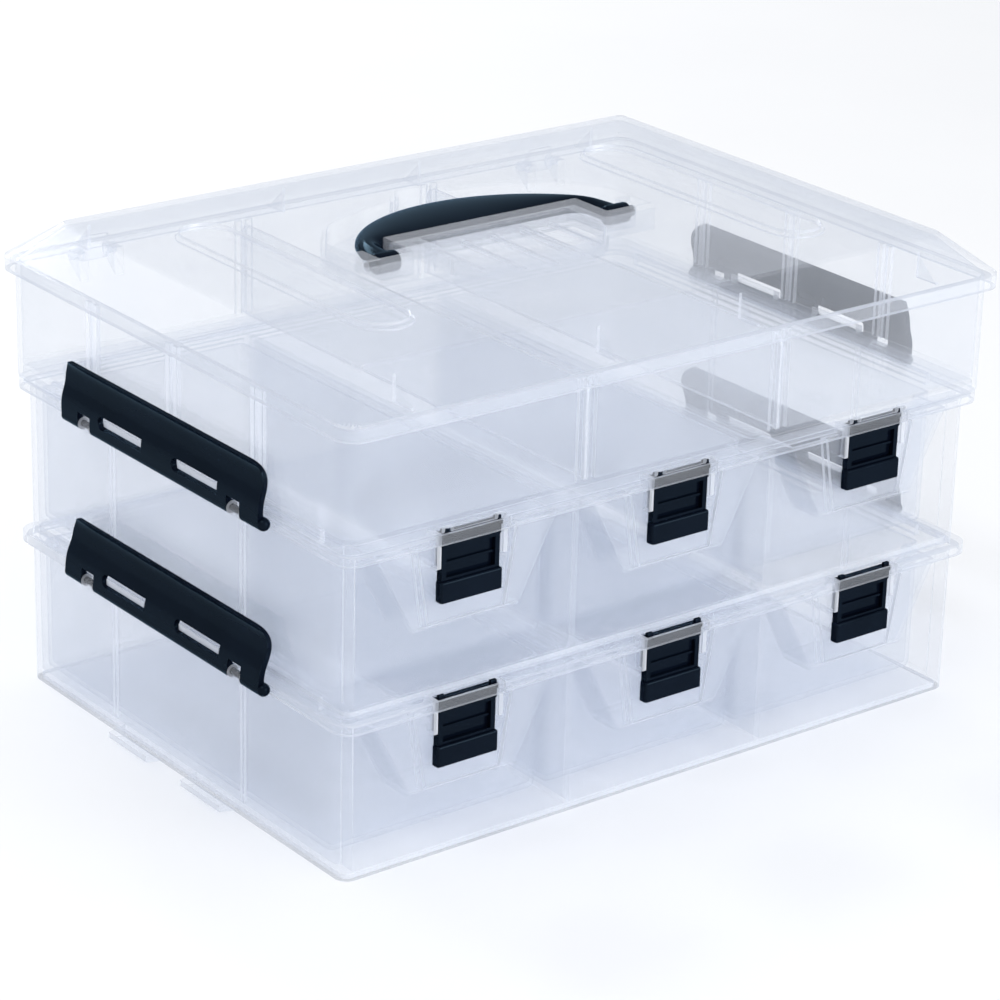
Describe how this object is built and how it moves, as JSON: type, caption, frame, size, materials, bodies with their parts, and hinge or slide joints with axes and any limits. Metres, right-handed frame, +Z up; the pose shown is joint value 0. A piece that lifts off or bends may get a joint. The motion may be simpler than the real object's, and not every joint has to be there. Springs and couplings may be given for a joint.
{
  "type": "sewing box with trays",
  "caption": "Stacking clear plastic sewing box with tiers of pull-out drawers, a divided top tray, a hinged lid with a folding carry handle and black side latches.",
  "frame": {"origin": "middle of the bounding box's footprint, on the surface the box stands on", "axes": "+X to the right as seen from the drawer side, +Y towards the lid hinge at the back, +Z up"},
  "size_m": [0.3566, 0.2698, 0.2164],
  "materials": {
    "clear_plastic": "gloss",
    "black_plastic": "gloss"
  },
  "bodies": {
    "stack": {"tier_bottom": "clear_plastic", "tier_middle": "clear_plastic", "tray_top": "clear_plastic"},
    "divider_left": {"divider_left": "clear_plastic"},
    "divider_right": {"divider_right": "clear_plastic"},
    "lid": {"lid": "clear_plastic"},
    "handle": {"handle": "black_plastic"},
    "drawer_bottom_left": {"drawer_bottom_left": "clear_plastic"},
    "drawer_latch_bottom_left": {"drawer_latch_bottom_left": "black_plastic"},
    "drawer_bottom_middle": {"drawer_bottom_middle": "clear_plastic"},
    "drawer_latch_bottom_middle": {"drawer_latch_bottom_middle": "black_plastic"},
    "drawer_bottom_right": {"drawer_bottom_right": "clear_plastic"},
    "drawer_latch_bottom_right": {"drawer_latch_bottom_right": "black_plastic"},
    "side_latch_bottom_left": {"side_latch_bottom_left": "black_plastic"},
    "side_latch_bottom_right": {"side_latch_bottom_right": "black_plastic"},
    "drawer_upper_left": {"drawer_upper_left": "clear_plastic"},
    "drawer_latch_upper_left": {"drawer_latch_upper_left": "black_plastic"},
    "drawer_upper_middle": {"drawer_upper_middle": "clear_plastic"},
    "drawer_latch_upper_middle": {"drawer_latch_upper_middle": "black_plastic"},
    "drawer_upper_right": {"drawer_upper_right": "clear_plastic"},
    "drawer_latch_upper_right": {"drawer_latch_upper_right": "black_plastic"},
    "side_latch_upper_left": {"side_latch_upper_left": "black_plastic"},
    "side_latch_upper_right": {"side_latch_upper_right": "black_plastic"}
  },
  "joints": [
    {"name": "lid_hinge", "type": "hinge", "parent": "stack", "child": "lid", "pos_m": [0, 0.1317, 0.1902], "axis": [-1, 0, 0], "range_deg": [0, 100]},
    {"name": "handle_hinge", "type": "hinge", "parent": "lid", "child": "handle", "pos_m": [0, -0.0029, 0.2115], "axis": [1, 0, 0], "range_deg": [0, 90]},
    {"name": "divider_left_lift", "type": "slide", "parent": "stack", "child": "divider_left", "axis": [0, 0, 1], "range_m": [0, 0.009]},
    {"name": "divider_right_lift", "type": "slide", "parent": "stack", "child": "divider_right", "axis": [0, 0, 1], "range_m": [0, 0.009]},
    {"name": "drawer_bottom_left_slide", "type": "slide", "parent": "stack", "child": "drawer_bottom_left", "axis": [0, -1, 0], "range_m": [0, 0.185]},
    {"name": "drawer_latch_bottom_left_press", "type": "slide", "parent": "drawer_bottom_left", "child": "drawer_latch_bottom_left", "axis": [0, 0, -1], "range_m": [0, 0.0036], "stiffness_N_per_m": 600, "springref_m": -0.002},
    {"name": "drawer_bottom_middle_slide", "type": "slide", "parent": "stack", "child": "drawer_bottom_middle", "axis": [0, -1, 0], "range_m": [0, 0.185]},
    {"name": "drawer_latch_bottom_middle_press", "type": "slide", "parent": "drawer_bottom_middle", "child": "drawer_latch_bottom_middle", "axis": [0, 0, -1], "range_m": [0, 0.0036], "stiffness_N_per_m": 600, "springref_m": -0.002},
    {"name": "drawer_bottom_right_slide", "type": "slide", "parent": "stack", "child": "drawer_bottom_right", "axis": [0, -1, 0], "range_m": [0, 0.185]},
    {"name": "drawer_latch_bottom_right_press", "type": "slide", "parent": "drawer_bottom_right", "child": "drawer_latch_bottom_right", "axis": [0, 0, -1], "range_m": [0, 0.0036], "stiffness_N_per_m": 600, "springref_m": -0.002},
    {"name": "side_latch_bottom_left_hinge", "type": "hinge", "parent": "stack", "child": "side_latch_bottom_left", "pos_m": [-0.1754, -0.0029, 0.0706], "axis": [0, -1, 0], "range_deg": [0, 170]},
    {"name": "side_latch_bottom_right_hinge", "type": "hinge", "parent": "stack", "child": "side_latch_bottom_right", "pos_m": [0.1754, -0.0029, 0.0706], "axis": [0, 1, 0], "range_deg": [0, 170]},
    {"name": "drawer_upper_left_slide", "type": "slide", "parent": "stack", "child": "drawer_upper_left", "axis": [0, -1, 0], "range_m": [0, 0.185]},
    {"name": "drawer_latch_upper_left_press", "type": "slide", "parent": "drawer_upper_left", "child": "drawer_latch_upper_left", "axis": [0, 0, -1], "range_m": [0, 0.0036], "stiffness_N_per_m": 600, "springref_m": -0.002},
    {"name": "drawer_upper_middle_slide", "type": "slide", "parent": "stack", "child": "drawer_upper_middle", "axis": [0, -1, 0], "range_m": [0, 0.185]},
    {"name": "drawer_latch_upper_middle_press", "type": "slide", "parent": "drawer_upper_middle", "child": "drawer_latch_upper_middle", "axis": [0, 0, -1], "range_m": [0, 0.0036], "stiffness_N_per_m": 600, "springref_m": -0.002},
    {"name": "drawer_upper_right_slide", "type": "slide", "parent": "stack", "child": "drawer_upper_right", "axis": [0, -1, 0], "range_m": [0, 0.185]},
    {"name": "drawer_latch_upper_right_press", "type": "slide", "parent": "drawer_upper_right", "child": "drawer_latch_upper_right", "axis": [0, 0, -1], "range_m": [0, 0.0036], "stiffness_N_per_m": 600, "springref_m": -0.002},
    {"name": "side_latch_upper_left_hinge", "type": "hinge", "parent": "stack", "child": "side_latch_upper_left", "pos_m": [-0.1754, -0.0029, 0.143], "axis": [0, -1, 0], "range_deg": [0, 170]},
    {"name": "side_latch_upper_right_hinge", "type": "hinge", "parent": "stack", "child": "side_latch_upper_right", "pos_m": [0.1754, -0.0029, 0.143], "axis": [0, 1, 0], "range_deg": [0, 170]}
  ]
}
